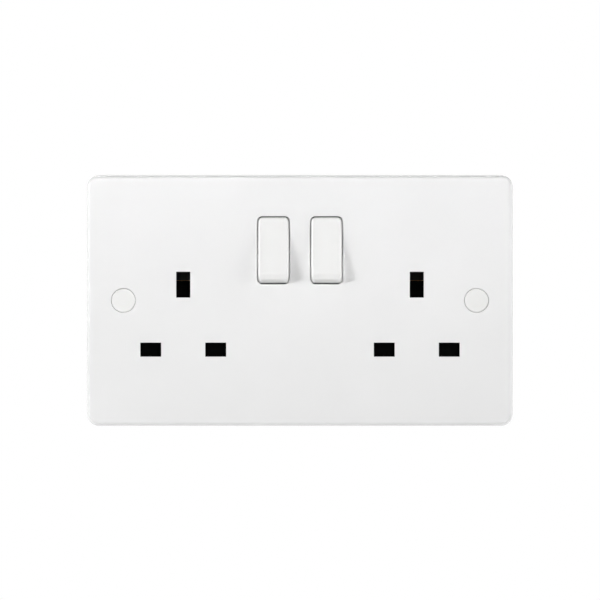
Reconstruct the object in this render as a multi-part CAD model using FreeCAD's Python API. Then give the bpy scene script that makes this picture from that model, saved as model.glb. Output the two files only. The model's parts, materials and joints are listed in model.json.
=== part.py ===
import FreeCAD
import Part
import os
from math import asin, cos, pi, radians, sin, sqrt, tan
from FreeCAD import Vector

# All sizes are in mm. X is to the right, Y goes into the wall and Z is up.
# Depths are counted from the front face, so depth = plate_projection is the wall.

# Faceplate shell
plate_width = 146.0
plate_height = 86.0
plate_projection = 10.0
plate_corner_r = 4.2
plate_draft = 0.5
plate_edge_r = 1.2
front_wall = 2.5
skirt_wall = 2.2
edge_break = 0.25
rib_root = 0.5
rib_wall = 1.4
gusset_reach = 4.0
gusset_depth = 5.0
gusset_pitch = 23.0

# Plug pins of the British three-pin pattern and their slots
gang_pitch = 79.8
pin_spread = 22.2
earth_rise = 22.2
line_row_z = -16.8
line_pin_width = 6.35
pin_thickness = 4.0
earth_pin_height = 8.0
line_pin_length = 17.7
earth_pin_length = 22.7
slot_clearance = 0.8
slot_depth = 4.9
collar_wall = 1.3

# Rocker switches
rocker_pitch = 18.1
rocker_z = 17.15
window_width = 11.1
window_height = 23.2
window_corner_r = 1.7
window_lip = 1.2
rocker_gap = 0.35
rocker_pivot_depth = 3.0
rocker_face_reach = 4.7
rocker_tilt = 10.0
rocker_wall = 1.6
rocker_tail = 1.1
rocker_corner_r = 1.4
rocker_edge_r = 0.8
facet_start = 9.2
facet_slope = 30.0
facet_crease_r = 2.0
flange_cover = 0.4
flange_gap = 0.35
flange_drop = 0.35
pivot_r = 1.3
pivot_gap = 0.05
bearing_wall = 2.2
well_gap = 0.5
well_wall = 1.6

# Rocker stem, plunger and its spring
stem_r = 3.0
stem_head = 2.6
plunger_r = 1.7
plunger_gap = 0.05
plunger_seat_gap = 0.08
plunger_show = 3.4
plunger_body = 7.4
plunger_travel = 1.0
plunger_coil_r = 1.3
plunger_wire_r = 0.25
plunger_turns = 4
coil_end_gap = 0.05
coil_facets = 12

# See-saw contacts
contact_width = 5.0
contact_sheet = 0.8
contact_bend = 12.0
contact_rock = 11.0
contact_reach = 7.0
contact_end = 1.7
tip_r = 1.4
tip_height = 0.8
closed_gap = 0.1
fulcrum_gap = 0.05
fulcrum_half = 1.0
fulcrum_ear = 0.9
ear_half = 0.7
ear_rise = 1.2
ear_gap = 0.45

# Pin clips and flat bars
clip_sheet = 0.6
clip_grip = 0.25
clip_flare = 1.0
clip_heel = 0.7
clip_side_gap = 0.2
line_clip_width = 6.0
earth_clip_trim = 2.8
earth_clip_drop = 1.1
pin_end_gap = 0.3
clip_mouth_drop = 4.0
clip_throat = 2.6
bar_sheet = 0.8
bar_width = 4.4
line_bar_width = 3.2
line_bar_gap = 5.2
bar_corner_r = 0.9
clip_bend_r = 0.7
contact_bend_r = 1.6

# Shutters
shutter_gap = 0.2
shutter_sheet = 1.6
shutter_cover = 1.1
shutter_travel = 5.8
shutter_side_gap = 0.3
shutter_stop_gap = 0.1
shutter_stem_half = 3.2
ramp_cover = 0.1
ramp_crest = 1.2
lug_height = 2.0
lug_reach = 4.6
shutter_coil_r = 1.6
shutter_wire_r = 0.25
shutter_turns = 6
spring_depth_gap = 0.5
shutter_corner_r = 0.8

# Rear base
base_width = 114.0
base_height = 61.0
base_corner_r = 3.0
base_wall = 1.6
base_floor = 1.5
rim_gap = 0.1
fixing_notch_gap = 0.5
finger_gap = 0.15
finger_side_gap = 0.2
spring_seat_height = 1.7
ear_sheet = 1.4
base_edge_r = 1.0
well_corner_r = 1.2
well_edge_r = 0.8
tower_corner_r = 1.0
pocket_corner_r = 0.5

# Terminals
terminal_pitch = 12.0
terminal_z = -14.0
terminal_width = 8.0
terminal_height = 8.0
terminal_depth = 7.0
terminal_break = 0.4
wire_r = 2.1
wire_floor = 0.7
rivet_r = 2.0
rivet_gap = 0.1
terminal_screw_r = 1.95
terminal_screw_gap = 0.05
terminal_screw_length = 6.0
terminal_head_r = 2.6
terminal_head = 1.8
tower_rise = 0.3
tower_gap = 1.0

# Fixing screws, caps and base screws
fixing_pitch = 120.6
fixing_hole_r = 2.1
fixing_thread_r = 1.75
fixing_neck_r = 1.5
fixing_length = 25.0
fixing_head_r = 3.3
fixing_head = 2.2
fixing_seat_depth = 6.2
fixing_boss_wall = 1.25
fixing_boss_end_gap = 0.6
cap_hole_r = 4.15
cap_gap = 0.1
cap_proud = 0.25
cap_sheet = 1.3
cap_leg_gap = 0.05
cap_leg_wall = 0.9
cap_leg = 2.0
cap_edge_r = 0.3
base_screw_pitch = 46.0
base_screw_r = 1.45
base_screw_gap = 0.05
base_screw_bite = 4.9
base_screw_boss_r = 2.6
base_screw_head_r = 2.6
base_screw_head = 1.4
base_screw_out = 2.9
drive_slot = 0.9
drive_slot_depth = 0.8

# Depths that follow from the sizes above
shutter_front = slot_depth + shutter_gap
shutter_rear = shutter_front + shutter_sheet
rim_depth = shutter_rear + rim_gap
line_web_front = line_pin_length + pin_end_gap
bar_front = line_web_front + clip_sheet
floor_front = bar_front + bar_sheet
floor_rear = floor_front + base_floor
earth_web_front = max(earth_pin_length + pin_end_gap, floor_rear + bar_sheet)
well_floor_front = earth_web_front + clip_sheet
well_rear = well_floor_front + base_floor
terminal_front = floor_rear + bar_sheet
terminal_rear = terminal_front + terminal_depth
wire_depth = terminal_front + wire_floor + wire_r
tower_rear = terminal_rear + tower_rise
rib_rear = rim_depth - shutter_gap

# Places across the face
gang_x = {"left": -gang_pitch / 2, "right": gang_pitch / 2}
rocker_x = {"left": -rocker_pitch / 2, "right": rocker_pitch / 2}
side_sign = {"left": -1, "right": 1}
fixing_x = fixing_pitch / 2
earth_z = line_row_z + earth_rise
line_slot_width = line_pin_width + slot_clearance
slot_thickness = pin_thickness + slot_clearance
earth_slot_height = earth_pin_height + slot_clearance

# Rocker shape: the end arcs are struck from the pivot, so the gap stays even
rocker_half = window_width / 2 - rocker_gap
rocker_arc = sqrt((window_height / 2 - rocker_gap) ** 2 + (rocker_pivot_depth - window_lip) ** 2)
rocker_swing = rocker_pivot_depth + rocker_tail + rocker_arc * sin(radians(rocker_tilt)) + well_gap
flange_half = window_width / 2 + flange_cover
well_half = rocker_arc + well_gap
well_side = flange_half + flange_gap
bearing_x = well_side + bearing_wall / 2

# See-saw: the rear corner is the pivot, and the bar's front sets its depth
bend = radians(contact_bend)
rock = radians(contact_rock)
tip_back = tip_height * cos(bend) - contact_reach * tan(bend)
tip_up = contact_reach + tip_height * sin(bend)
tip_closed_depth = tip_back * cos(rock) + tip_up * sin(rock)
tip_closed_z = tip_up * cos(rock) - tip_back * sin(rock)
contact_pivot = bar_front - tip_height - closed_gap - tip_closed_depth
contact_heart = contact_pivot - contact_sheet / cos(bend)
stop_depth = contact_pivot + closed_gap + contact_reach * (sin(rock) - tan(bend) * cos(rock))
plunger_reach = contact_heart - (plunger_r + plunger_seat_gap) / cos(bend) - rocker_pivot_depth
stem_reach = plunger_reach - plunger_show

# Shutter shape
flag_half = pin_spread / 2 + line_slot_width / 2 + shutter_cover
flag_top = line_row_z + slot_thickness / 2 + shutter_cover
flag_bottom = line_row_z - slot_thickness / 2 - shutter_cover
ramp_half = slot_thickness / 2 + ramp_cover
ramp_low = earth_z - earth_slot_height / 2 - shutter_cover / 2
ramp_high = ramp_low + shutter_travel + shutter_cover / 2
ramp_rear = shutter_front + (ramp_high - ramp_low) + ramp_crest
lug_low = flag_top - lug_height
spring_depth = shutter_rear + spring_depth_gap + shutter_coil_r + shutter_wire_r
seat_low = -base_height / 2 + base_wall
seat_high = seat_low + spring_seat_height

# Bars and base
earth_clip_height = earth_pin_height - earth_clip_trim
earth_leaf = pin_thickness / 2 + clip_heel + clip_sheet
earth_mouth = ramp_rear + shutter_cover
well_half_x = earth_leaf + bar_sheet + clip_side_gap
earth_clip_z = earth_z - earth_clip_drop
well_half_z = (earth_pin_height + slot_clearance) / 2 + clip_side_gap
boss_r = cap_hole_r + fixing_boss_wall
notch_r = boss_r + fixing_notch_gap
base_screw_z = base_height / 2 + base_screw_out
clip_rib = line_clip_width / 2 + clip_side_gap
clip_half_z = pin_thickness / 2 + clip_heel + clip_sheet
clip_rib_half = clip_half_z + rib_wall
line_bar_low = line_row_z + line_bar_gap
line_bar_high = line_bar_low + line_bar_width
neutral_low = seat_low + clip_side_gap
neutral_high = neutral_low + bar_width
riser_x = rocker_pitch / 2 + well_side + bearing_wall + bar_width / 2 + clip_side_gap


# Shapes
def at(depth):
    return depth - plate_projection


def block(x0, x1, d0, d1, z0, z1):
    return Part.makeBox(x1 - x0, d1 - d0, z1 - z0, Vector(x0, at(d0), z0))


def plot(x, z, width, height, d0, d1):
    return block(x - width / 2, x + width / 2, d0, d1, z - height / 2, z + height / 2)


def rod_y(x, z, r, d0, d1):
    return Part.makeCylinder(r, d1 - d0, Vector(x, at(d0), z), Vector(0, 1, 0))


def rod_x(x0, x1, r, depth, z):
    return Part.makeCylinder(r, x1 - x0, Vector(x0, at(depth), z), Vector(1, 0, 0))


def rod_z(x, depth, r, z0, z1):
    return Part.makeCylinder(r, z1 - z0, Vector(x, at(depth), z0), Vector(0, 0, 1))


def round_wire(x, z, width, height, r, depth):
    y = at(depth)
    corners = []
    for sx, sz, start in ((1, 1, 0), (-1, 1, 90), (-1, -1, 180), (1, -1, 270)):
        centre = Vector(x + sx * (width / 2 - r), y, z + sz * (height / 2 - r))
        points = []
        for step in (0, 45, 90):
            turn = radians(start + step)
            points.append(centre + Vector(r * cos(turn), 0, r * sin(turn)))
        corners.append(points)
    edges = []
    for i, points in enumerate(corners):
        edges.append(Part.Arc(*points).toShape())
        edges.append(Part.makeLine(points[2], corners[(i + 1) % 4][0]))
    return Part.Wire(edges)


def slab(x, z, width, height, r, d0, d1):
    face = Part.Face(round_wire(x, z, width, height, r, d0))
    return face.extrude(Vector(0, d1 - d0, 0))


def prism_x(points, x0, x1):
    outline = [Vector(x0, at(d), z) for d, z in points]
    return Part.Face(Part.makePolygon(outline + outline[:1])).extrude(Vector(x1 - x0, 0, 0))


# A sheet bent along a line of points, with a true radius at every bend
def bent(points, sheet, r, place):
    line = [Vector(a, b, 0) for a, b in points]
    ways = []
    for i in range(len(line) - 1):
        way = line[i + 1] - line[i]
        way.normalize()
        ways.append(way)
    normals = [Vector(-way.y, way.x, 0) for way in ways]
    sides = []
    for hand in (1, -1):
        shift = hand * sheet / 2
        edges = []
        last = line[0] + normals[0] * shift
        ends = [last]
        for i in range(1, len(ways)):
            turn = ways[i - 1].getAngle(ways[i])
            inward = normals[i - 1] if ways[i] * normals[i - 1] > 0 else normals[i - 1] * -1
            leg = r * tan(turn / 2)
            centre = line[i] - ways[i - 1] * leg + inward * r
            out = line[i] - centre
            out.normalize()
            near = line[i] - ways[i - 1] * leg + normals[i - 1] * shift
            far = line[i] + ways[i] * leg + normals[i] * shift
            crest = centre + out * (near - centre).Length
            edges.append(Part.makeLine(place(last), place(near)))
            edges.append(Part.Arc(place(near), place(crest), place(far)).toShape())
            last = far
        ends.append(line[-1] + normals[-1] * shift)
        edges.append(Part.makeLine(place(last), place(ends[1])))
        sides.append((edges, ends))
    caps = [Part.makeLine(place(sides[0][1][i]), place(sides[1][1][i])) for i in (0, 1)]
    loop = Part.__sortEdges__(sides[0][0] + sides[1][0] + caps)
    return Part.Face(Part.Wire(loop))


def strip_x(points, sheet, r, x0, x1):
    face = bent(points, sheet, r, lambda p: Vector(x0, at(p.x), p.y))
    return face.extrude(Vector(x1 - x0, 0, 0))


def strip_z(points, sheet, r, z0, z1):
    face = bent(points, sheet, r, lambda p: Vector(p.x, at(p.y), z0))
    return face.extrude(Vector(0, 0, z1 - z0))


# Rounds the corners that a stamping or a moulding shows when it is seen from the front
def corners_rounded(shape, r):
    upright = []
    for edge in shape.Edges:
        box = edge.BoundBox
        if box.XLength < 1e-6 and box.ZLength < 1e-6:
            upright.append(edge)
    return shape.makeFillet(r, upright)


def rear_rounded(shape, r, depth):
    rim = [e for e in shape.Edges if e.BoundBox.YMin > at(depth) - 1e-6]
    return shape.makeFillet(r, rim)


def join(shapes):
    return shapes[0].fuse(shapes[1:]).removeSplitter()


def tilted(shape, depth, z, angle):
    turned = shape.copy()
    turned.rotate(Vector(0, at(depth), z), Vector(1, 0, 0), angle)
    return turned


# A coil standing on the origin along +Z, lofted through square sections of its wire
def coil(r, wire_r, length, turns):
    rise = length - 2 * wire_r
    up = Vector(0, 0, 1)
    sections = []
    for i in range(turns * coil_facets + 1):
        turn = 2 * pi * i / coil_facets
        out = Vector(cos(turn), sin(turn), 0)
        centre = out * r + up * (wire_r + rise * i / (turns * coil_facets))
        corners = [centre + out * wire_r, centre + up * wire_r, centre - out * wire_r, centre - up * wire_r]
        sections.append(Part.makePolygon(corners + corners[:1]))
    return Part.makeLoft(sections, True, True)


def slot_places(side):
    x = gang_x[side]
    line = (line_slot_width, slot_thickness)
    return [
        (x - pin_spread / 2, line_row_z) + line,
        (x + pin_spread / 2, line_row_z) + line,
        (x, earth_z, slot_thickness, earth_slot_height),
    ]


def base_screw_places():
    return [(x, z) for z in (-base_screw_z, base_screw_z) for x in (-base_screw_pitch, 0, base_screw_pitch)]


# Faceplate, the moulding that carries everything else
def plate_shell():
    rear = round_wire(0, 0, plate_width, plate_height, plate_corner_r, plate_projection)
    inset = 2 * plate_draft
    front_r = plate_corner_r - plate_draft
    front = round_wire(0, 0, plate_width - inset, plate_height - inset, front_r, 0)
    shell = Part.makeLoft([rear, front], True, True)
    rim = [e for e in shell.Edges if all(abs(v.Y - at(0)) < 1e-6 for v in e.Vertexes)]
    return shell.makeFillet(plate_edge_r, rim)


def plate_ribs():
    root = front_wall - rib_root
    ribs = []
    for x in (-fixing_x, fixing_x):
        ribs.append(rod_y(x, 0, boss_r, root, plate_projection - fixing_boss_end_gap))
    for x, z in base_screw_places():
        ribs.append(rod_y(x, z, base_screw_boss_r, root, rim_depth))
    for side, sign in side_sign.items():
        for x, z, width, height in slot_places(side):
            ribs.append(plot(x, z, width + 2 * collar_wall, height + 2 * collar_wall, root, slot_depth))
        well_width = 2 * (well_side + bearing_wall)
        ribs.append(plot(rocker_x[side], rocker_z, well_width, 2 * (well_half + well_wall), root, rib_rear))
        for hand in (-1, 1):
            edge = gang_x[side] + hand * (flag_half + shutter_side_gap + rib_wall / 2)
            ribs.append(block(edge - rib_wall / 2, edge + rib_wall / 2, root, rib_rear,
                              flag_bottom - shutter_travel, flag_top + rib_wall))
            stop = gang_x[side] + hand * (flag_half - collar_wall)
            ribs.append(block(stop - rib_wall, stop + rib_wall + collar_wall, root, rib_rear,
                              flag_top + shutter_stop_gap, flag_top + shutter_stop_gap + rib_wall))
    return ribs


# Small triangular webs that stiffen the skirt from inside
def plate_gussets():
    root = front_wall - rib_root
    half = rib_wall / 2
    gussets = []
    for sign in (-1, 1):
        wall = sign * (plate_height / 2 - skirt_wall / 2)
        inner = sign * (plate_height / 2 - skirt_wall - gusset_reach)
        outline = [(root, wall), (root, inner), (front_wall, inner), (front_wall + gusset_depth, wall)]
        for i in (-2.5, -1.5, -0.5, 0.5, 1.5, 2.5):
            x = i * gusset_pitch
            gussets.append(prism_x(outline, x - half, x + half))
    return gussets


def plate_openings():
    over = plate_edge_r
    cuts = []
    for x in (-fixing_x, fixing_x):
        cuts.append(rod_y(x, 0, cap_hole_r, -over, fixing_seat_depth))
        cuts.append(rod_y(x, 0, fixing_hole_r, fixing_seat_depth - over, plate_projection))
    for x, z in base_screw_places():
        hole_r = base_screw_r + base_screw_gap
        cuts.append(rod_y(x, z, hole_r, rim_depth - base_screw_bite, rim_depth + over))
    for side in gang_x:
        for x, z, width, height in slot_places(side):
            cuts.append(plot(x, z, width, height, -over, slot_depth + over))
        x = rocker_x[side]
        cuts.append(slab(x, rocker_z, window_width, window_height, window_corner_r, -over, front_wall))
        cuts.append(plot(x, rocker_z, 2 * well_side, 2 * well_half, window_lip, rib_rear + over))
        seat = pivot_r + pivot_gap
        far = well_side + bearing_wall
        cuts.append(rod_x(x - far, x + far, seat, rocker_pivot_depth, rocker_z))
        cuts.append(plot(x, rocker_z, 2 * far, 2 * seat, rocker_pivot_depth, rib_rear + over))
    return cuts


def make_faceplate():
    shell = plate_shell()
    inner_r = max(plate_corner_r - skirt_wall, edge_break)
    hollow = slab(0, 0, plate_width - 2 * skirt_wall, plate_height - 2 * skirt_wall, inner_r,
                  front_wall, plate_projection + rib_root)
    ribs = join(plate_ribs() + plate_gussets()).common(shell)
    plate = join([shell.cut(hollow), ribs]).cut(plate_openings())
    face = [f for f in plate.Faces if abs(f.BoundBox.YMax - at(0)) < 1e-6][0]
    outer = face.OuterWire
    rims = [e for w in face.Wires if not w.isSame(outer) for e in w.Edges]
    return plate.makeFillet(edge_break, rims)


# Rocker, drawn level and then tilted to its off position
def rocker_crease():
    slope = radians(facet_slope)
    bend = facet_crease_r * tan(slope / 2)
    rise = facet_crease_r / cos(slope / 2) - facet_crease_r
    return [
        (rocker_face_reach - bend * sin(slope), -facet_start - bend * cos(slope)),
        (rocker_face_reach - rise * cos(slope / 2), -facet_start + rise * sin(slope / 2)),
        (rocker_face_reach, bend - facet_start),
    ]


# How far ahead of the pivot the facet meets the lower end arc
def facet_end():
    slope = radians(facet_slope)
    toward = facet_start * cos(slope) - rocker_face_reach * sin(slope)
    run = sqrt(toward ** 2 + rocker_arc ** 2 - rocker_face_reach ** 2 - facet_start ** 2) - toward
    return rocker_face_reach - run * sin(slope)


# The face, the end arcs and the open rear, with or without the facet
def rocker_points(inset, tail, faceted):
    arc = rocker_arc - inset
    reach = rocker_face_reach - inset
    face = asin(reach / arc)
    rear = -asin(tail / arc)
    low = asin(facet_end() / arc) if faceted else face
    points = {
        "top": [(arc * sin(a), arc * cos(a)) for a in (face, (face + rear) / 2, rear)],
        "low": [(arc * sin(a), -arc * cos(a)) for a in (rear, (low + rear) / 2, low)],
        "crease": rocker_crease() if faceted else [],
    }
    place = lambda ahead, up: Vector(0, at(rocker_pivot_depth - ahead), rocker_z + up)
    return {name: [place(*p) for p in line] for name, line in points.items()}


def rocker_profile(inset, tail, faceted):
    points = rocker_points(inset, tail, faceted)
    top, low, crease = points["top"], points["low"], points["crease"]
    edges = [
        Part.Arc(*top).toShape(),
        Part.makeLine(top[2], low[0]),
        Part.Arc(*low).toShape(),
    ]
    if faceted:
        edges += [Part.makeLine(low[2], crease[0]), Part.Arc(*crease).toShape()]
    edges.append(Part.makeLine(crease[2] if faceted else low[2], top[0]))
    return Part.Face(Part.Wire(edges))


def rocker_shell():
    solid = rocker_profile(0, rocker_tail, True).extrude(Vector(2 * rocker_half, 0, 0))
    solid.translate(Vector(-rocker_half, 0, 0))
    points = rocker_points(0, rocker_tail, True)
    rear_y = points["top"][2].y
    facet_y = points["low"][2].y
    seam_low, seam_high = points["crease"][0].z, points["crease"][2].z
    near = edge_break / 10
    ends = []
    for edge in solid.Edges:
        box = edge.BoundBox
        if box.XLength < near and box.YMax > rear_y - near and box.YLength > rocker_tail:
            ends.append(edge)
    solid = solid.makeFillet(rocker_corner_r, ends)
    rim = []
    for edge in solid.Edges:
        box = edge.BoundBox
        seam = box.ZLength < near and seam_low - near < box.ZMin < seam_high + near
        if box.YMax < facet_y + near and not seam:
            rim.append(edge)
    solid = solid.makeFillet(rocker_edge_r, rim)
    inner = 2 * (rocker_half - rocker_wall)
    core = rocker_profile(rocker_wall, rocker_wall + rocker_tail, False)
    hollow = core.extrude(Vector(inner, 0, 0))
    hollow.translate(Vector(-inner / 2, 0, 0))
    return join([solid, rocker_flange()]).cut(hollow)


# A flange under the window's edges, so that nothing shows through the gap
def rocker_flange():
    front = rocker_pivot_depth + flange_drop
    band = block(-flange_half, flange_half, front, rocker_pivot_depth + rocker_tail,
                 rocker_z - rocker_arc, rocker_z + rocker_arc)
    return band.common(rod_x(-flange_half, flange_half, rocker_arc, rocker_pivot_depth, rocker_z))


def make_rocker(side):
    stem_front = rocker_pivot_depth - rocker_face_reach + rocker_wall / 2
    stem = rod_y(0, rocker_z, stem_r, stem_front, rocker_pivot_depth + stem_reach)
    pins = []
    pin_end = well_side + bearing_wall - pivot_gap
    for x0, x1 in ((-pin_end, -rocker_half + rocker_wall), (rocker_half - rocker_wall, pin_end)):
        pins.append(rod_x(x0, x1, pivot_r, rocker_pivot_depth, rocker_z))
    bore = rod_y(0, rocker_z, plunger_r + plunger_gap, rocker_pivot_depth - stem_head,
                 rocker_pivot_depth + stem_reach + rib_root)
    rocker = join([rocker_shell(), stem] + pins).cut(bore)
    rocker.translate(Vector(rocker_x[side], 0, 0))
    return tilted(rocker, rocker_pivot_depth, rocker_z, -rocker_tilt)


def make_plunger(side):
    tip_depth = rocker_pivot_depth + plunger_reach
    body = rod_y(rocker_x[side], rocker_z, plunger_r, tip_depth - plunger_body, tip_depth)
    tip = Part.makeSphere(plunger_r, Vector(rocker_x[side], at(tip_depth), rocker_z))
    return tilted(join([body, tip]), rocker_pivot_depth, rocker_z, -rocker_tilt)


def make_plunger_spring(side):
    near = rocker_pivot_depth - stem_head + coil_end_gap
    far = rocker_pivot_depth + plunger_reach - plunger_body - coil_end_gap
    spring = coil(plunger_coil_r, plunger_wire_r, far - near, plunger_turns)
    spring.rotate(Vector(0, 0, 0), Vector(1, 0, 0), -90)
    spring.translate(Vector(rocker_x[side], at(near), rocker_z))
    return tilted(spring, rocker_pivot_depth, rocker_z, -rocker_tilt)


# See-saw contact, drawn level about its rear corner and tilted to off
def make_moving_contact(side):
    x = rocker_x[side]
    heart = contact_pivot - contact_sheet / cos(bend) / 2
    length = contact_reach / cos(bend) + contact_end
    wing = (heart - length * sin(bend), length * cos(bend))
    line = [(wing[0], rocker_z - wing[1]), (heart, rocker_z), (wing[0], rocker_z + wing[1])]
    strip = strip_x(line, contact_sheet, contact_bend_r, x - contact_width / 2, x + contact_width / 2)
    notch = ear_half + ear_gap
    cuts = []
    for hand in (-1, 1):
        edge = x + hand * contact_width / 2
        depth = fulcrum_ear + ear_gap
        cuts.append(plot(edge, rocker_z, 2 * depth, 2 * notch,
                         contact_pivot - contact_reach, contact_pivot + contact_reach))
    return tilted(strip.cut(cuts), contact_pivot, rocker_z, contact_rock)


def make_moving_tip(side):
    base = Vector(rocker_x[side], at(contact_pivot - contact_reach * tan(bend)), rocker_z + contact_reach)
    tip = Part.makeCylinder(tip_r, tip_height, base, Vector(0, cos(bend), sin(bend)))
    return tilted(tip, contact_pivot, rocker_z, contact_rock)


def make_fixed_tip(side):
    return rod_y(rocker_x[side], rocker_z + tip_closed_z, tip_r, bar_front - tip_height, bar_front)


# Flat bars, each a stamping that lies on the base's floor
def flat(x0, x1, z0, z1):
    return block(min(x0, x1), max(x0, x1), bar_front, floor_front, min(z0, z1), max(z0, z1))


def make_live_feed():
    half = bar_width / 2
    x = -terminal_pitch / 2
    foot = terminal_z - terminal_height / 2
    turn = terminal_z + terminal_height / 2 + half
    reach = rocker_pitch / 2 + contact_width / 2
    pieces = [
        flat(x - half, x + half, foot, turn + bar_width),
        flat(x - half, half, turn, turn + bar_width),
        flat(-half, half, turn, rocker_z + half),
        flat(-reach, reach, rocker_z - half, rocker_z + half),
    ]
    pieces = [corners_rounded(join(pieces), bar_corner_r)]
    for x in rocker_x.values():
        crest = contact_pivot + fulcrum_gap
        pieces.append(plot(x, rocker_z, contact_width, 2 * fulcrum_half, crest, bar_front))
        for hand in (-1, 1):
            ear = x + hand * (contact_width - fulcrum_ear) / 2
            top = contact_pivot - ear_rise
            pieces.append(plot(ear, rocker_z, fulcrum_ear, 2 * ear_half, top, bar_front))
    return join(pieces)


def make_line_bar(side):
    sign = side_sign[side]
    half = bar_width / 2
    tip_z = rocker_z + tip_closed_z
    riser = sign * riser_x
    clip_x = gang_x[side] + pin_spread / 2
    near = rocker_x[side] - sign * tip_r
    pieces = [
        flat(near, riser + sign * half, tip_z - tip_r, tip_z + tip_r),
        flat(riser - half, riser + half, line_bar_low, tip_z + tip_r),
        flat(riser - sign * half, clip_x + sign * half, line_bar_low, line_bar_high),
        flat(clip_x - half, clip_x + half, line_row_z - clip_half_z, line_bar_high),
    ]
    return corners_rounded(join(pieces), bar_corner_r)


def make_neutral_bar():
    half = bar_width / 2
    left = gang_x["left"] - pin_spread / 2
    right = gang_x["right"] - pin_spread / 2
    tab = terminal_pitch / 2
    clip_top = line_row_z + clip_half_z
    pieces = [
        flat(left - half, right + half, neutral_low, neutral_high),
        flat(left - half, left + half, neutral_low, clip_top),
        flat(right - half, right + half, neutral_low, clip_top),
        flat(tab - half, tab + half, neutral_low, terminal_z + terminal_height / 2),
    ]
    return corners_rounded(join(pieces), bar_corner_r)


# The earth bar lies on the back of the base, and its ends fold along the earth clips
def make_earth_bar():
    middle = bar_sheet / 2
    end = gang_pitch / 2 - earth_leaf - middle
    half = bar_width / 2
    foot = terminal_z - terminal_height / 2
    heart = floor_rear + middle
    line = [(-end, earth_web_front), (-end, heart), (end, heart), (end, earth_web_front)]
    pieces = [strip_z(line, bar_sheet, clip_bend_r, earth_z - half, earth_z + half)]
    for sign in (-1, 1):
        leg = sign * terminal_pitch * 1.5
        tab = block(leg - half, leg + half, floor_rear, terminal_front, foot, earth_z)
        low = [e for e in tab.Edges if e.BoundBox.ZMax < foot + 1e-6 and e.BoundBox.XLength < 1e-6]
        pieces.append(tab.makeFillet(bar_corner_r, low))
    return join(pieces)


# Pin clips: a bent leaf on each side of the pin
def clip_line(mouth, web_front, straight):
    sheet = clip_sheet / 2
    pinch = pin_thickness / 2 - clip_grip + sheet
    flare = pin_thickness / 2 + clip_flare
    heel = pin_thickness / 2 + clip_heel + sheet
    leaf = [(mouth, flare), (mouth + clip_throat, pinch), (straight, heel), (web_front + sheet, heel)]
    return leaf + [(d, -off) for d, off in leaf[::-1]]


def make_line_clip(x):
    mouth = rim_depth + clip_mouth_drop
    straight = line_web_front - clip_throat / 2
    line = [(d, line_row_z + off) for d, off in clip_line(mouth, line_web_front, straight)]
    half = line_clip_width / 2
    return strip_x(line, clip_sheet, clip_bend_r, x - half, x + half)


def make_earth_clip(x):
    line = [(x + off, d) for d, off in clip_line(earth_mouth, earth_web_front, floor_rear)]
    half = earth_clip_height / 2
    return strip_z(line, clip_sheet, clip_bend_r, earth_clip_z - half, earth_clip_z + half)


# Shutter with two flags, a stem and the ramp that the earth pin pushes down
def make_shutter(side):
    x = gang_x[side]
    ramp = [
        (shutter_front, ramp_low - ramp_crest),
        (shutter_front, ramp_low),
        (ramp_rear - ramp_crest, ramp_high),
        (ramp_rear, ramp_high),
        (ramp_rear, ramp_low - ramp_crest),
    ]
    half = shutter_stem_half
    peg = lug_low - shutter_coil_r
    plate = join([
        block(x - flag_half, x + flag_half, shutter_front, shutter_rear, flag_bottom, flag_top),
        block(x - half, x + half, shutter_front, shutter_rear, flag_bottom, ramp_low),
    ])
    pieces = [
        corners_rounded(plate, shutter_corner_r),
        prism_x(ramp, x - ramp_half, x + ramp_half),
        block(x - half, x + half, shutter_front, shutter_rear + lug_reach, lug_low, flag_top),
        rod_z(x, spring_depth, shutter_coil_r - 2 * shutter_wire_r, peg, flag_top),
    ]
    return join(pieces)


def make_shutter_spring(side):
    low = seat_high + coil_end_gap
    high = lug_low - coil_end_gap
    spring = coil(shutter_coil_r, shutter_wire_r, high - low, shutter_turns)
    spring.translate(Vector(gang_x[side], at(spring_depth), low))
    return spring


# Rear base, one tray with wells, ribs and the terminal tower
def base_tray():
    body = slab(0, 0, base_width, base_height, base_corner_r, rim_depth, floor_rear)
    body = rear_rounded(body, base_edge_r, floor_rear)
    inner_r = max(base_corner_r - base_wall, edge_break)
    hollow = slab(0, 0, base_width - 2 * base_wall, base_height - 2 * base_wall, inner_r,
                  rim_depth - rib_root, floor_front)
    for x in (-fixing_x, fixing_x):
        body = body.cut(rod_y(x, 0, notch_r, rim_depth - rib_root, floor_rear + rib_root))
        hollow = hollow.cut(rod_y(x, 0, notch_r + base_wall, rim_depth - rib_root, floor_front))
    return body.cut(hollow)


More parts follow.
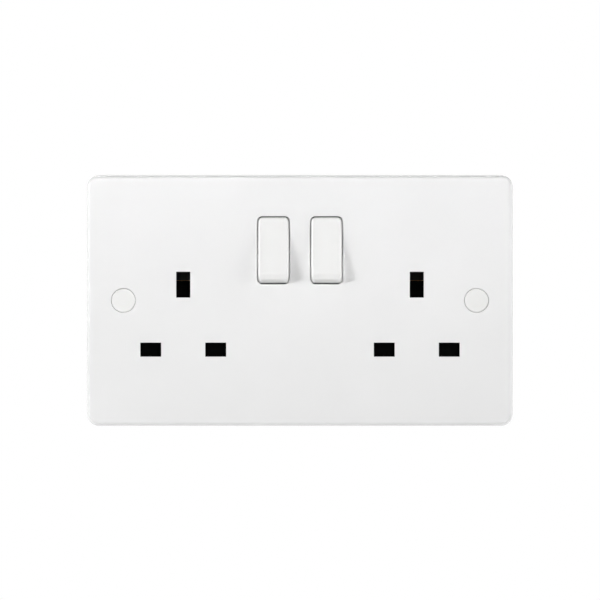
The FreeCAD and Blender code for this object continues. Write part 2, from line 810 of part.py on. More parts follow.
def base_front_ribs():
    ribs = []
    for x, z in base_screw_places():
        ribs.append(rod_y(x, z, base_screw_boss_r, rim_depth, rim_depth + ear_sheet))
        toward = base_height / 2 - base_wall / 2
        low, high = sorted((z, toward if z > 0 else -toward))
        width = 2 * base_screw_boss_r
        ribs.append(plot(x, (low + high) / 2, width, high - low, rim_depth, rim_depth + ear_sheet))
    for side, sign in side_sign.items():
        x = gang_x[side]
        for clip_x in (x - pin_spread / 2, x + pin_spread / 2):
            for hand in (-1, 1):
                near = clip_x + hand * clip_rib
                edges = sorted((near, near + hand * rib_wall))
                ribs.append(block(edges[0], edges[1], rim_depth, floor_front + rib_root,
                                  line_row_z - clip_rib_half, line_row_z + clip_rib_half))
        half = shutter_coil_r + rib_wall
        ribs.append(block(x - half, x + half, rim_depth, spring_depth + half,
                          seat_low - rib_root, seat_high))
        peg_r = shutter_coil_r - 2 * shutter_wire_r
        ribs.append(rod_z(x, spring_depth, peg_r, seat_low, seat_high + shutter_coil_r))
        rocker = rocker_x[side]
        finger = rocker_pivot_depth + pivot_r + finger_gap
        height = 2 * (pivot_r + pivot_gap - finger_side_gap)
        width = bearing_wall - 2 * finger_side_gap
        outer = rocker + sign * bearing_x
        ribs.append(plot(outer, rocker_z, width, height, finger, floor_front + rib_root))
        inner = rocker - sign * bearing_x
        post_low = rocker_z + bar_width / 2 + clip_side_gap
        knee = rim_depth + pivot_r
        ribs.append(plot(inner, rocker_z, width, height, finger, knee + rib_wall))
        ribs.append(block(inner - width / 2, inner + width / 2, knee, knee + rib_wall,
                          rocker_z, post_low + height))
        ribs.append(block(inner - width / 2, inner + width / 2, knee, floor_front + rib_root,
                          post_low, post_low + height))
        ribs.append(plot(rocker, rocker_z - contact_reach, contact_width, 2 * tip_r, stop_depth,
                         floor_front + rib_root))
    return ribs


def base_rear_ribs():
    root = floor_rear - rib_root
    top = terminal_z + terminal_height / 2 + tower_gap
    foot = terminal_z - terminal_height / 2 - tower_gap
    span = 4 * terminal_pitch + rib_wall
    middle = (foot + top + rib_wall) / 2
    tower = slab(0, middle, span, top + rib_wall - foot, tower_corner_r, root, tower_rear)
    pockets = []
    for i in range(4):
        x = (i - 1.5) * terminal_pitch
        low = foot - tower_corner_r
        pockets.append(slab(x, (low + top) / 2, terminal_pitch - rib_wall, top - low, pocket_corner_r,
                            root - rib_root, tower_rear + rib_root))
    ribs = [tower.cut(pockets)]
    for x in (-terminal_pitch / 2, terminal_pitch / 2):
        ribs.append(plot(x, terminal_z, terminal_width, terminal_height, root, terminal_front))
    for x in gang_x.values():
        width = 2 * (well_half_x + base_wall)
        height = 2 * (well_half_z + base_wall)
        well = slab(x, earth_z, width, height, well_corner_r, root, well_rear)
        ribs.append(rear_rounded(well, well_edge_r, well_rear))
    return ribs


def base_openings():
    cuts = []
    for x, z in base_screw_places():
        hole = base_screw_r + base_screw_gap
        cuts.append(rod_y(x, z, hole, rim_depth - rib_root, rim_depth + ear_sheet + rib_root))
    for side, sign in side_sign.items():
        x = gang_x[side]
        cuts.append(plot(x, earth_z, 2 * well_half_x, 2 * well_half_z,
                         floor_front - rib_root, well_floor_front))
        inner = x - sign * (well_half_x + base_wall / 2)
        height = bar_width + 2 * clip_side_gap
        cuts.append(plot(inner, earth_z, 2 * base_wall, height, floor_rear, terminal_front + clip_side_gap))
        leg = sign * terminal_pitch * 1.5
        wall_z = terminal_z + terminal_height / 2 + tower_gap + rib_wall / 2
        cuts.append(plot(leg, wall_z, height, 2 * rib_wall, floor_rear, terminal_front + clip_side_gap))
        if rocker_swing > rim_depth:
            tall = base_height + 2 * rib_root
            cuts.append(block(rocker_x[side] - well_side, rocker_x[side] + well_side, rim_depth - rib_root,
                              rocker_swing, rocker_z, tall / 2))
    for x in (-terminal_pitch / 2, terminal_pitch / 2):
        hole_r = rivet_r + rivet_gap
        cuts.append(rod_y(x, terminal_z, hole_r, floor_front - rib_root, terminal_front + rib_root))
    return cuts


def make_base():
    solids = [base_tray()] + base_front_ribs() + base_rear_ribs()
    return join(solids).cut(base_openings())


# Terminal blocks: a cross bore for the wire and a screw hole from the back
def make_terminal(x, riveted):
    body = plot(x, terminal_z, terminal_width, terminal_height, terminal_front, terminal_rear)
    rim = [e for e in body.Edges if e.BoundBox.YMin > at(terminal_rear) - 1e-6]
    body = body.makeChamfer(terminal_break, rim)
    half = terminal_height / 2 + rib_root
    cuts = [
        rod_z(x, wire_depth, wire_r, terminal_z - half, terminal_z + half),
        rod_y(x, terminal_z, terminal_screw_r + terminal_screw_gap, wire_depth, terminal_rear + rib_root),
    ]
    body = body.cut(cuts)
    if riveted:
        body = join([body, rod_y(x, terminal_z, rivet_r, floor_front, terminal_front)])
    return body


def slotted(head, x, z, r, depth):
    length = 2 * r + drive_slot
    return head.cut(plot(x, z, length, drive_slot, depth - drive_slot_depth, depth + drive_slot_depth))


def make_terminal_screws():
    tip = wire_depth + wire_r
    end = tip + terminal_screw_length
    screws = []
    for i in range(4):
        x = (i - 1.5) * terminal_pitch
        shank = rod_y(x, terminal_z, terminal_screw_r, tip, end - terminal_head / 2)
        head = rod_y(x, terminal_z, terminal_head_r, end - terminal_head, end)
        screws.append(slotted(join([shank, head]), x, terminal_z, terminal_head_r, end))
    return Part.makeCompound(screws)


def make_fixing_screws():
    neck_end = plate_projection - fixing_boss_end_gap / 2
    tip = fixing_seat_depth + fixing_length
    screws = []
    for x in (-fixing_x, fixing_x):
        head = rod_y(x, 0, fixing_head_r, fixing_seat_depth - fixing_head, fixing_seat_depth)
        rim = [e for e in head.Edges if e.BoundBox.YMax < at(fixing_seat_depth - fixing_head) + 1e-6]
        head = head.makeChamfer(fixing_head / 3, rim)
        head = slotted(head, x, 0, fixing_head_r, fixing_seat_depth - fixing_head)
        neck = rod_y(x, 0, fixing_neck_r, fixing_seat_depth - rib_root, neck_end)
        thread = rod_y(x, 0, fixing_thread_r, neck_end, tip)
        end = [e for e in thread.Edges if e.BoundBox.YMin > at(tip) - 1e-6]
        thread = thread.makeChamfer(fixing_thread_r / 3, end)
        screws.append(join([head, neck, thread]))
    return Part.makeCompound(screws)


def make_base_screws():
    seat = rim_depth + ear_sheet
    tip = rim_depth - base_screw_bite + rib_root
    screws = []
    for x, z in base_screw_places():
        head = rod_y(x, z, base_screw_head_r, seat, seat + base_screw_head)
        rim = [e for e in head.Edges if e.BoundBox.YMin > at(seat + base_screw_head) - 1e-6]
        head = head.makeChamfer(base_screw_head / 3, rim)
        head = slotted(head, x, z, base_screw_head_r, seat + base_screw_head)
        shank = rod_y(x, z, base_screw_r, tip, seat)
        point = [e for e in shank.Edges if e.BoundBox.YMax < at(tip) + 1e-6]
        shank = shank.makeChamfer(base_screw_r / 2, point)
        screws.append(join([head, shank]))
    return Part.makeCompound(screws)


def make_cap(x):
    disc = rod_y(x, 0, cap_hole_r - cap_gap, -cap_proud, cap_sheet)
    rim = [e for e in disc.Edges if e.BoundBox.YMax < at(-cap_proud) + 1e-6]
    disc = disc.makeFillet(cap_edge_r, rim)
    leg_r = cap_hole_r - cap_leg_gap
    leg = rod_y(x, 0, leg_r, cap_sheet - cap_edge_r, cap_sheet + cap_leg)
    core = rod_y(x, 0, leg_r - cap_leg_wall, cap_sheet, cap_sheet + cap_leg + rib_root)
    return join([disc, leg.cut(core)])


def main():
    shapes = {
        "faceplate": make_faceplate(),
        "rear_base": make_base(),
        "live_feed_bar": make_live_feed(),
        "neutral_bar": make_neutral_bar(),
        "earth_bar": make_earth_bar(),
        "live_terminal": make_terminal(-terminal_pitch / 2, True),
        "neutral_terminal": make_terminal(terminal_pitch / 2, True),
        "left_earth_terminal": make_terminal(-terminal_pitch * 1.5, False),
        "right_earth_terminal": make_terminal(terminal_pitch * 1.5, False),
        "terminal_screws": make_terminal_screws(),
        "fixing_screws": make_fixing_screws(),
        "base_screws": make_base_screws(),
    }
    for side, sign in side_sign.items():
        x = gang_x[side]
        shapes[side + "_rocker"] = make_rocker(side)
        shapes[side + "_plunger"] = make_plunger(side)
        shapes[side + "_plunger_spring"] = make_plunger_spring(side)
        shapes[side + "_moving_contact"] = make_moving_contact(side)
        shapes[side + "_moving_tip"] = make_moving_tip(side)
        shapes[side + "_fixed_tip"] = make_fixed_tip(side)
        shapes[side + "_line_bar"] = make_line_bar(side)
        shapes[side + "_line_clip"] = make_line_clip(x + pin_spread / 2)
        shapes[side + "_neutral_clip"] = make_line_clip(x - pin_spread / 2)
        shapes[side + "_earth_clip"] = make_earth_clip(x)
        shapes[side + "_shutter"] = make_shutter(side)
        shapes[side + "_shutter_spring"] = make_shutter_spring(side)
        shapes[side + "_screw_cap"] = make_cap(sign * fixing_x)
    os.makedirs("parts", exist_ok=True)
    for name, shape in shapes.items():
        shape.exportStep("parts/" + name + ".step")


if __name__ == "__main__":
    main()
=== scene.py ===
import json
import math
import bmesh
import bpy
import numpy as np
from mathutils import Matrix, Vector


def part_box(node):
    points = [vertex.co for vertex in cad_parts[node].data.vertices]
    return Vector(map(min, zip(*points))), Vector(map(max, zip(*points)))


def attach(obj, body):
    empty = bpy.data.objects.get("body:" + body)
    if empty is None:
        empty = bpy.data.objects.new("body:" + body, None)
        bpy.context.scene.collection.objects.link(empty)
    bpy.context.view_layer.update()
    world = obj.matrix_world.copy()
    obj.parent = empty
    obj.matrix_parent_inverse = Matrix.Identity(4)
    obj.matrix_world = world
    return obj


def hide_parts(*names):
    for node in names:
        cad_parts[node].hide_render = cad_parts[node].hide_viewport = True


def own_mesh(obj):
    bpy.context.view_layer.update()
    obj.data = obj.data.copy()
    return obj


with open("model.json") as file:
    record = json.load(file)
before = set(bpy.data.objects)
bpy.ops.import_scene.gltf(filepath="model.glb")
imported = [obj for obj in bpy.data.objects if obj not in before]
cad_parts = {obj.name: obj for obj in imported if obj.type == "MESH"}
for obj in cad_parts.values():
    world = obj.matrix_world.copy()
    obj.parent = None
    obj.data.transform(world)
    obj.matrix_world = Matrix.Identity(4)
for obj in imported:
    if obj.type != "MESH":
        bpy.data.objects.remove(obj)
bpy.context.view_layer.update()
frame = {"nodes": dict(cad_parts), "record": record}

nodes = frame["nodes"]
record = frame["record"]
mounts = {m["name"]: m for m in record["mounts"]}
joints = {j["name"]: j for j in record["behaviour"]["joints"]}
scene = bpy.context.scene
print("frame loaded,", len(nodes), "nodes")

# sizes in metres, in the frame of the solids
mm = 0.001
plateLow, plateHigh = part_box("faceplate")
plateMiddle = (plateLow + plateHigh) / 2

meshLook = {"mergeWithin": 1e-7, "sharpAngle": 32}


# quads of a grid of points: rows along the first axis, columns along the second;
# wrap joins the last column to the first
def gridFaces(rows, columns, wrap):
    r = np.arange(rows - 1)
    c = np.arange(columns if wrap else columns - 1)
    r, c = np.meshgrid(r, c, indexing="ij")
    cNext = (c + 1) % columns
    low, high = r * columns, (r + 1) * columns
    return np.stack([low + c, low + cNext, high + cNext, high + c], axis=-1).reshape(-1, 4)


# joins grids of points into one smooth mesh object; each grid comes as (points, wrap, caps),
# and caps closes its first and last rows
def surfaceObject(name, grids, material, closed=True):
    points, faces, start = [], [], 0
    for grid, wrap, caps in grids:
        rows, columns = grid.shape[:2]
        faces += (gridFaces(rows, columns, wrap) + start).tolist()
        if caps:
            ring = np.arange(columns) + start
            faces.append(ring[::-1].tolist())
            faces.append((ring + (rows - 1) * columns).tolist())
        points.append(grid.reshape(-1, 3))
        start += rows * columns
    mesh = bpy.data.meshes.new(name)
    mesh.from_pydata(np.concatenate(points).tolist(), [], faces)
    mesh.validate()
    if closed:  # seams merged, faces turned outwards
        work = bmesh.new()
        work.from_mesh(mesh)
        bmesh.ops.remove_doubles(work, verts=work.verts, dist=meshLook["mergeWithin"])
        bmesh.ops.recalc_face_normals(work, faces=work.faces)
        work.to_mesh(mesh)
        work.free()
    mesh.polygons.foreach_set("use_smooth", np.ones(len(mesh.polygons), dtype=bool))
    mesh.set_sharp_from_angle(angle=math.radians(meshLook["sharpAngle"]))
    mesh.update()
    piece = bpy.data.objects.new(name, mesh)
    scene.collection.objects.link(piece)
    mesh.materials.append(material)
    return piece


# finishes: each reads Object coordinates in metres, so a scale of 1000 is a grain of about 1 mm
def newFinish(name):
    finish = bpy.data.materials.new(name)
    finish.use_nodes = True
    tree = finish.node_tree
    return finish, tree, tree.nodes["Principled BSDF"]


def grain(tree, scale, detail=2.0, stretch=(1, 1, 1)):
    place = tree.nodes.new("ShaderNodeTexCoord")
    mapping = tree.nodes.new("ShaderNodeMapping")
    mapping.inputs["Scale"].default_value = stretch
    noise = tree.nodes.new("ShaderNodeTexNoise")
    noise.inputs["Scale"].default_value = scale
    noise.inputs["Detail"].default_value = detail
    tree.links.new(place.outputs["Object"], mapping.inputs["Vector"])
    tree.links.new(mapping.outputs["Vector"], noise.inputs["Vector"])
    return noise.outputs["Fac"]


def tint(tree, shader, fac, spots, colours):
    ramp = tree.nodes.new("ShaderNodeValToRGB")
    band = ramp.color_ramp
    while len(band.elements) < len(spots):
        band.elements.new(0.5)
    for element, spot, colour in zip(band.elements, spots, colours):
        element.position = spot
        element.color = (*colour, 1)
    tree.links.new(fac, ramp.inputs["Fac"])
    tree.links.new(ramp.outputs["Color"], shader.inputs["Base Color"])


def dullness(tree, shader, fac, low, high):
    span = tree.nodes.new("ShaderNodeMapRange")
    span.inputs["To Min"].default_value = low
    span.inputs["To Max"].default_value = high
    tree.links.new(fac, span.inputs["Value"])
    tree.links.new(span.outputs["Result"], shader.inputs["Roughness"])


def relief(tree, shader, fac, strength, distance):
    bump = tree.nodes.new("ShaderNodeBump")
    bump.inputs["Strength"].default_value = strength
    bump.inputs["Distance"].default_value = distance
    tree.links.new(fac, bump.inputs["Height"])
    tree.links.new(bump.outputs["Normal"], shader.inputs["Normal"])


plasticGrain = {"detail": 3.0, "spots": (0.3, 0.7), "glossFiner": 9}
metalGrain = {"detail": 4.0, "spots": (0.25, 0.5, 0.8)}


# moulded plastic: two close shades in slow clouds, fine moulding texture, satin gloss
def mouldedPlastic(name, look):
    finish, tree, shader = newFinish(name)
    clouds = grain(tree, look["cloudScale"], plasticGrain["detail"])
    tint(tree, shader, clouds, plasticGrain["spots"], (look["shade"], look["light"]))
    gloss = grain(tree, look["cloudScale"] * plasticGrain["glossFiner"])
    dullness(tree, shader, gloss, *look["roughness"])
    texture = grain(tree, look["textureScale"])
    relief(tree, shader, texture, look["textureStrength"], look["textureDepth"])
    shader.inputs["IOR"].default_value = look["ior"]
    shader.inputs["Specular IOR Level"].default_value = look["specular"]
    return finish


# rolled or cut metal: streaks along one axis, a slow tarnish, brushed roughness
def workedMetal(name, look):
    finish, tree, shader = newFinish(name)
    tarnish = grain(tree, look["tarnishScale"], metalGrain["detail"])
    shades = (look["tarnish"], look["body"], look["bright"])
    tint(tree, shader, tarnish, metalGrain["spots"], shades)
    streaks = grain(tree, look["streakScale"], stretch=look["streakStretch"])
    dullness(tree, shader, streaks, *look["roughness"])
    relief(tree, shader, streaks, look["streakStrength"], look["streakDepth"])
    shader.inputs["Metallic"].default_value = 1.0
    return finish


plateLook = {
    "shade": (0.848, 0.848, 0.848), "light": (0.873, 0.873, 0.873), "cloudScale": 30,
    "roughness": (0.19, 0.28), "ior": 1.49, "specular": 0.5,
    "textureScale": 1400, "textureStrength": 0.12, "textureDepth": 0.00002,
}
rockerLook = {
    **plateLook, "shade": (0.847, 0.846, 0.838), "light": (0.875, 0.874, 0.866),
    "roughness": (0.17, 0.26),
}
capLook = {
    **plateLook, "shade": (0.846, 0.846, 0.834), "light": (0.872, 0.872, 0.86),
    "cloudScale": 60,
}
nylonLook = {
    **plateLook, "shade": (0.66, 0.645, 0.58), "light": (0.72, 0.705, 0.64),
    "cloudScale": 160, "roughness": (0.4, 0.5),
}
baseLook = {
    "shade": (0.040, 0.041, 0.044), "light": (0.062, 0.063, 0.067), "cloudScale": 90,
    "roughness": (0.45, 0.62), "ior": 1.5, "specular": 0.5,
    "textureScale": 1100, "textureStrength": 0.35, "textureDepth": 0.00005,
}
# shutters: black plastic whose colour is pushed far below real black plastic, with almost no
# specular, so they paint in the shade deep inside the slots
paintedSlotShadeShutterLook = {
    **baseLook, "shade": (0.0015, 0.0015, 0.0017), "light": (0.003, 0.003, 0.0033),
    "roughness": (0.6, 0.75), "specular": 0.02,
}
barLook = {
    "tarnish": (0.55, 0.36, 0.13), "body": (0.72, 0.52, 0.22), "bright": (0.80, 0.60, 0.29),
    "tarnishScale": 120, "roughness": (0.22, 0.42), "streakScale": 900,
    "streakStretch": (0.08, 1, 1), "streakStrength": 0.15, "streakDepth": 0.00002,
}
terminalLook = {
    **barLook, "body": (0.76, 0.56, 0.25), "bright": (0.84, 0.66, 0.34),
    "streakStretch": (1, 1, 0.1), "roughness": (0.16, 0.32),
}
bronzeLook = {
    **barLook, "tarnish": (0.48, 0.25, 0.12), "body": (0.67, 0.41, 0.21),
    "bright": (0.76, 0.50, 0.29), "roughness": (0.25, 0.4),
}
silverLook = {
    **barLook, "tarnish": (0.66, 0.65, 0.61), "body": (0.84, 0.83, 0.80),
    "bright": (0.92, 0.91, 0.89), "streakStretch": (1, 1, 1), "roughness": (0.3, 0.45),
}
wireLook = {
    **silverLook, "tarnish": (0.36, 0.36, 0.36), "body": (0.50, 0.50, 0.51),
    "bright": (0.60, 0.60, 0.61), "roughness": (0.2, 0.34),
}
zincLook = {
    **silverLook, "tarnish": (0.56, 0.56, 0.58), "body": (0.67, 0.68, 0.70),
    "bright": (0.76, 0.77, 0.79), "tarnishScale": 400, "roughness": (0.22, 0.38),
}
nickelLook = {
    **silverLook, "tarnish": (0.58, 0.55, 0.49), "body": (0.68, 0.66, 0.61),
    "bright": (0.77, 0.75, 0.70), "roughness": (0.16, 0.3),
}

finishes = {
    "plate_white": mouldedPlastic("plateWhite", plateLook),
    "rocker_white": mouldedPlastic("rockerWhite", rockerLook),
    "cap_white": mouldedPlastic("capWhite", capLook),
    "base_grey": mouldedPlastic("baseCharcoal", baseLook),
    # the shutters' near-zero colour is painted shade for the inside of the slots
    "shutter_black": mouldedPlastic("shutterBlackWithPaintedSlotShade", paintedSlotShadeShutterLook),
    "plunger_nylon": mouldedPlastic("plungerNylon", nylonLook),
    "bar_brass": workedMetal("stampedBrass", barLook),
    "terminal_brass": workedMetal("machinedBrass", terminalLook),
    "clip_bronze": workedMetal("rolledBronze", bronzeLook),
    "tip_silver": workedMetal("contactSilver", silverLook),
    "spring_steel": workedMetal("drawnWire", wireLook),
    "screw_zinc": workedMetal("zincPlate", zincLook),
    "terminal_screw_steel": workedMetal("nickelPlate", nickelLook),
}
for part in record["subparts"]:
    slots = nodes[part["node"]].data.materials
    slots.clear()
    slots.append(finishes[part["material_slot"]])
print("finishes on", len(record["subparts"]), "nodes")

neckLook = {"rim": 0.9, "columns": 40}
threadLook = {"flank": 2.6, "crestFlat": 0.15, "runIn": 1.5}
headLook = {"rim": 0.9995, "sideSteps": 14, "alongSteps": 25, "crownPower": 3}


# plain neck: a cylinder along Y whose ends draw in to the rim's share of its radius
def neckGrid(place, radius, start, end):
    turn = np.linspace(0, 2 * np.pi, neckLook["columns"], endpoint=False)
    radii = radius * np.array([neckLook["rim"], 1, 1, neckLook["rim"]])[:, None]
    depth = np.array([start, start, end, end])[:, None]
    x = place[0] + radii * np.cos(turn)
    z = place[1] - radii * np.sin(turn)
    return np.stack([x, np.broadcast_to(depth, x.shape), z], axis=-1)


# screw thread: radius = crest less a flat-topped wave that climbs one pitch in each turn,
# the wave fading out near the head and the whole radius tapering at the tip
def threadGrid(place, look):
    length = abs(look["tip"] - look["root"])
    way = np.sign(look["tip"] - look["root"])
    rows = int(length / look["pitch"] * look["steps"])
    run = np.linspace(0, length, rows)[:, None]
    turn = np.linspace(0, 2 * np.pi, look["columns"], endpoint=False)[None, :]
    phase = (run / look["pitch"] - way * turn / (2 * np.pi)) % 1
    wave = np.abs(phase - 0.5) * threadLook["flank"] - threadLook["crestFlat"]
    fade = np.clip(run / look["pitch"] / threadLook["runIn"], 0, 1)
    taper = np.clip((length - run) / look["point"], 0, 1)
    radius = look["crest"] - look["cut"] * np.clip(wave, 0, 1) * fade
    radius = np.minimum(radius, look["crest"] * (look["blunt"] + (1 - look["blunt"]) * taper))
    x = place[0] + radius * np.cos(turn)
    z = place[1] - radius * np.sin(turn)
    return np.stack([x, np.broadcast_to(look["root"] + way * run, x.shape), z], axis=-1)


# slotted head: across = u, along the slot = v times the half chord at u, height = a crowned top,
# or the slot's floor between its walls; the rim then drops straight to the seat
def headGrids(place, look, spin):
    size, half = look["headRadius"], look["slotWidth"] / 2
    steps = headLook["sideSteps"]
    sweep = np.linspace(np.arcsin(half / size), np.pi / 2, steps)
    side = size * headLook["rim"] * np.sin(sweep)
    side[0] = half
    u = np.concatenate([-side[::-1], [-half, 0, half], side])
    v = np.sin(np.linspace(-np.pi / 2, np.pi / 2, headLook["alongSteps"]))
    inSlot = np.zeros((len(u), 1), dtype=bool)
    inSlot[steps:-steps] = True
    across = np.broadcast_to(u[:, None], (len(u), len(v)))
    along = np.sqrt(size ** 2 - u ** 2)[:, None] * v
    share = (across ** 2 + along ** 2) / size ** 2
    crown = look["headHeight"] - look["crown"] * share ** headLook["crownPower"]
    floor = look["headHeight"] - look["slotDepth"]
    height = look["seat"] + look["out"] * np.where(inSlot, floor, crown)
    x = place[0] + along * np.cos(spin) - across * np.sin(spin)
    z = place[1] + along * np.sin(spin) + across * np.cos(spin)
    face = np.stack([x, height, z], axis=-1)
    sides = [face[:, -1], face[-1, ::-1][1:], face[::-1, 0][1:], face[0, :][1:-1]]
    loop = np.concatenate(sides)
    foot = loop.copy()
    foot[:, 1] = look["seat"]
    heart = np.broadcast_to(foot.mean(axis=0), foot.shape)
    return [(face, False, False), (np.stack([loop, foot, heart]), True, False)]


# one object for all the screws of a kind: heads, plain necks and threads
def screwSet(name, node, places, look, slotName):
    grids = []
    for place, spin in zip(places, look["turns"]):
        grids += headGrids(place, look, spin)
        if "neck" in look:
            grids.append((neckGrid(place, *look["neck"]), True, True))
        grids.append((threadGrid(place, look), True, True))
    screws = surfaceObject(name, grids, finishes[slotName])
    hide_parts(node)
    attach(screws, "housing")


fixingLow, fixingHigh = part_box("fixing_screws")
fixingHead = 2.2 * mm
fixingLook = {
    "headRadius": 3.3 * mm, "headHeight": fixingHead, "crown": 0.7 * mm,
    "slotWidth": 0.9 * mm, "slotDepth": 0.8 * mm, "turns": (0.35, -0.2),
    "out": -1, "seat": fixingLow.y + fixingHead,
    "neck": (1.5 * mm, fixingLow.y + 1.9 * mm, 0.2 * mm),  # radius, start, end
    "root": -0.3 * mm, "tip": fixingHigh.y, "crest": 1.75 * mm, "cut": 0.36 * mm,
    "pitch": 0.6 * mm, "steps": 8, "columns": 28, "point": 0.9 * mm, "blunt": 0.66,
}
fixingHalf = mounts["wall_fixing"]["dims"]["spacing_x_mm"] * mm / 2
fixingPlaces = [(-fixingHalf, 0), (fixingHalf, 0)]
screwSet("fixingScrewsThreaded", "fixing_screws", fixingPlaces, fixingLook, "screw_zinc")

terminalLow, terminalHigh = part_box("terminal_screws")
terminalHead = 1.8 * mm
terminalScrewLook = {
    "headRadius": 2.6 * mm, "headHeight": terminalHead, "crown": 0.35 * mm,
    "slotWidth": 0.9 * mm, "slotDepth": 0.8 * mm, "turns": (0.5, -0.3, 1.1, 0.1),
    "out": 1, "seat": terminalHigh.y - terminalHead,
    "root": terminalHigh.y - 1.3 * mm, "tip": terminalLow.y, "crest": 1.95 * mm, "cut": 0.4 * mm,
    "pitch": 0.7 * mm, "steps": 10, "columns": 36, "point": 0.4 * mm, "blunt": 0.8,
}
entries = [m["pos_m"] for name, m in mounts.items() if name.endswith("_wire_entry")]
terminalPlaces = sorted((x, z) for x, y, z in entries)
screwSet("terminalScrewsThreaded", "terminal_screws", terminalPlaces, terminalScrewLook,
         "terminal_screw_steel")

baseLow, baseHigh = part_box("base_screws")
baseHead = 1.4 * mm
baseScrewLook = {
    "headRadius": 2.6 * mm, "headHeight": baseHead, "crown": 0.55 * mm,
    "slotWidth": 0.9 * mm, "slotDepth": 0.8 * mm, "turns": (0.2, 0.9, -0.5, 1.3, -0.1, 0.6),
    "out": 1, "seat": baseHigh.y - baseHead,
    "root": baseHigh.y - 0.9 * mm, "tip": baseLow.y, "crest": 1.45 * mm, "cut": 0.3 * mm,
    "pitch": 1.0 * mm, "steps": 10, "columns": 24, "point": 1.6 * mm, "blunt": 0.35,
}
baseHalfX = baseHigh.x - baseScrewLook["headRadius"]
baseHalfZ = baseHigh.z - baseScrewLook["headRadius"]
basePlaces = [(x, z) for z in (-baseHalfZ, baseHalfZ) for x in (-baseHalfX, 0, baseHalfX)]
screwSet("baseScrewsThreaded", "base_screws", basePlaces, baseScrewLook, "screw_zinc")
print("screws threaded and slotted")

coilLook = {"rowsPerTurn": 26, "wireSides": 12}
shutterSpringLook = {"radius": 1.6 * mm, "wire": 0.25 * mm, "turns": 7.0}
plungerSpringLook = {"radius": 1.3 * mm, "wire": 0.25 * mm, "turns": 5.0, "head": 2.55 * mm}


# coil spring: a round wire carried along a helix; the rise of each turn starts and ends at the
# wire's own thickness, so that both ends lie flat, and the sum of the rises is the spring's length
def coilGrid(start, end, look):
    start, end = np.array(start, float), np.array(end, float)
    wire, turns = look["wire"], look["turns"]
    axis = (end - start) / np.linalg.norm(end - start)
    first = np.cross(axis, [1.0, 0.0, 0.0])
    first = first / np.linalg.norm(first)
    second = np.cross(axis, first)
    share = np.linspace(0, 1, int(turns * coilLook["rowsPerTurn"]))
    nearEnd = np.clip(np.minimum(share, 1 - share) * turns, 0, 1)
    length = np.linalg.norm(end - start) - 2 * wire
    flat = 2 * wire * turns / length
    pace = flat + (1 - flat) * nearEnd ** 2 * (3 - 2 * nearEnd)
    rise = np.concatenate([[0], np.cumsum((pace[1:] + pace[:-1]) / 2)])
    rise = wire + length * rise / rise[-1]
    angle = 2 * np.pi * turns * share
    outward = np.cos(angle)[:, None] * first + np.sin(angle)[:, None] * second
    heart = start + rise[:, None] * axis + look["radius"] * outward
    around = np.linspace(0, 2 * np.pi, coilLook["wireSides"], endpoint=False)[None, :, None]
    section = np.cos(around) * outward[:, None, :] + np.sin(around) * axis
    return heart[:, None, :] + wire * section


# the spring stands from start to end and rides the given body
def springPiece(name, node, body, start, end, look):
    grids = [(coilGrid(start, end, look), True, True)]
    spring = surfaceObject(name, grids, finishes["spring_steel"])
    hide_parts(node)
    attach(spring, body)
    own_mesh(spring)


def shutterSpring(side):
    low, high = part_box(side + "_shutter_spring")
    foot = ((low.x + high.x) / 2, (low.y + high.y) / 2, low.z)
    top = (foot[0], foot[1], high.z)
    springPiece(side + "ShutterSpring", side + "_shutter_spring", "housing", foot, top,
                shutterSpringLook)


# stands in the stem's bore, along the slide's own axis; the box of a leaning spring reaches past
# its end by twice the outer radius times both parts of the lean
def plungerSpring(side):
    look = plungerSpringLook
    slide = joints[side + "_plunger_slide"]
    pivot = np.array(joints[side + "_rocker_tilt"]["pos_m"])
    stem = -np.array(slide["axis"])
    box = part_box(side + "_plunger_spring")
    corners = [np.array((v.y, w.z)) for v in box for w in box]
    depth = max((corner - pivot[1:]) @ stem[1:] for corner in corners)
    lean = 2 * (look["radius"] + look["wire"]) * abs(stem[2] * stem[1])
    head = pivot - look["head"] * stem
    seat = pivot + (depth - lean) * stem
    springPiece(side + "PlungerSpring", side + "_plunger_spring", side + "_rocker",
                tuple(head), tuple(seat), look)


for side in ("left", "right"):
    shutterSpring(side)
    plungerSpring(side)
print("springs wound")

white = (1, 1, 1, 1)


# 1 where the camera, a reflection or a refraction sees a surface, 0 for the light that it gives
def seenByEye(tree):
    path = tree.nodes.new("ShaderNodeLightPath")
    seen = path.outputs["Is Camera Ray"]
    for ray in ("Is Glossy Ray", "Is Transmission Ray"):
        either = tree.nodes.new("ShaderNodeMath")
        either.operation = "MAXIMUM"
        tree.links.new(seen, either.inputs[0])
        tree.links.new(path.outputs[ray], either.inputs[1])
        seen = either.outputs[0]
    return seen


# stage: a flat square of pale floor under the plate, white to the camera and to reflections
floorLook = {
    "drop": 0.45, "half": 0.8, "steps": 9, "colour": (0.92, 0.92, 0.92), "roughness": 0.9,
    "specular": 0.0, "glow": 0.85,
}


def makeFloor():
    side = np.linspace(-floorLook["half"], floorLook["half"], floorLook["steps"])
    x, y = np.meshgrid(side, side, indexing="ij")
    points = np.stack([x, y, np.full_like(x, plateLow.z - floorLook["drop"])], axis=-1)
    finish, tree, shader = newFinish("paleFloor")
    shader.inputs["Base Color"].default_value = (*floorLook["colour"], 1)
    shader.inputs["Roughness"].default_value = floorLook["roughness"]
    shader.inputs["Specular IOR Level"].default_value = floorLook["specular"]
    shader.inputs["Emission Color"].default_value = white
    glow = tree.nodes.new("ShaderNodeMath")
    glow.operation = "MULTIPLY"
    glow.inputs[1].default_value = floorLook["glow"]
    tree.links.new(seenByEye(tree), glow.inputs[0])
    tree.links.new(glow.outputs[0], shader.inputs["Emission Strength"])
    floor = surfaceObject("paleFloor", [(points, False, False)], finish, closed=False)


makeFloor()

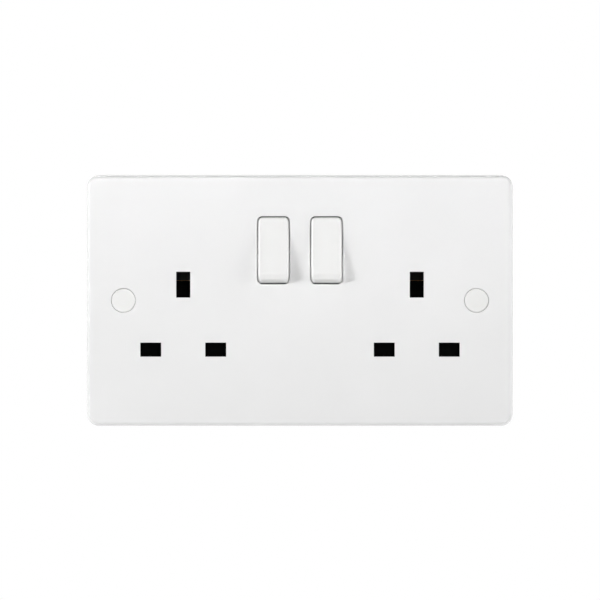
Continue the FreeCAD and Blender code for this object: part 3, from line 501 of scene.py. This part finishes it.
# light: soft boxes on both sides, weaker ones in front and above, a gridded strip over the lens,
# and two behind that no reflection shows
worldLook = {"eye": 1.0, "lamp": 0.0}
boxLook = {"aim": (0, 0, 0), "spread": 180, "shine": True}
rearLook = {**boxLook, "size": (0.8, 0.8), "power": 19.0, "shine": False}
lampLooks = {
    "leftBox": {**boxLook, "place": (-1.28, -0.72, 0.33), "size": (0.42, 0.55), "power": 16.4},
    "rightBox": {**boxLook, "place": (2.9, -0.95, 0.2), "size": (0.9, 1.2), "power": 46.0},
    "frontBox": {**boxLook, "place": (0.45, -1.45, 0.45), "size": (0.5, 0.5), "power": 5.6},
    "topBox": {**boxLook, "place": (0, -0.35, 1.0), "size": (1.0, 0.3), "power": 1.1},
    "topStrip": {**boxLook, "place": (0, -1.0, 0.2), "aim": (0, 0, 0.06), "size": (0.7, 0.06),
                 "power": 0.044, "spread": 18},
    "rearLeftBox": {**rearLook, "place": (-0.6, 1.9, 0.6)},
    "rearRightBox": {**rearLook, "place": (0.6, 1.9, 0.6)},
}


def makeWorld():
    world = bpy.data.worlds.new("studio")
    world.use_nodes = True
    tree = world.node_tree
    background = tree.nodes["Background"]
    strength = tree.nodes.new("ShaderNodeMapRange")
    strength.inputs["To Min"].default_value = worldLook["lamp"]
    strength.inputs["To Max"].default_value = worldLook["eye"]
    tree.links.new(seenByEye(tree), strength.inputs["Value"])
    tree.links.new(strength.outputs["Result"], background.inputs["Strength"])
    background.inputs["Color"].default_value = white
    scene.world = world


def makeLamp(name, look):
    lamp = bpy.data.lights.new(name, "AREA")
    lamp.shape = "RECTANGLE"
    lamp.size, lamp.size_y = look["size"]
    lamp.energy = look["power"]
    lamp.spread = math.radians(look["spread"])
    holder = bpy.data.objects.new(name, lamp)
    holder.location = look["place"]
    holder.visible_glossy = look["shine"]
    aim = plateMiddle + Vector(look["aim"]) - Vector(look["place"])
    holder.rotation_euler = aim.to_track_quat("-Z", "Y").to_euler()
    scene.collection.objects.link(holder)


makeWorld()
for name, look in lampLooks.items():
    makeLamp(name, look)

# camera: straight on, long lens; the plate is 426 of the photo's 600 pixels wide
cameraLook = {"distance": 3.0, "plateShare": 426 / 600, "sensor": 36.0, "rise": 0.17 * mm}


def makeCamera():
    camera = bpy.data.cameras.new("front")
    span = (plateHigh.x - plateLow.x) / cameraLook["plateShare"]
    camera.sensor_width = cameraLook["sensor"]
    camera.lens = cameraLook["sensor"] * cameraLook["distance"] / span
    holder = bpy.data.objects.new("front", camera)
    holder.location = (plateMiddle.x, plateHigh.y - cameraLook["distance"],
                       plateMiddle.z + cameraLook["rise"])
    holder.rotation_euler = (math.radians(90), 0, 0)
    scene.collection.objects.link(holder)
    bpy.context.scene.camera = holder


makeCamera()
bpy.context.scene.view_settings.view_transform = "Standard"
print("stage, light and camera set")
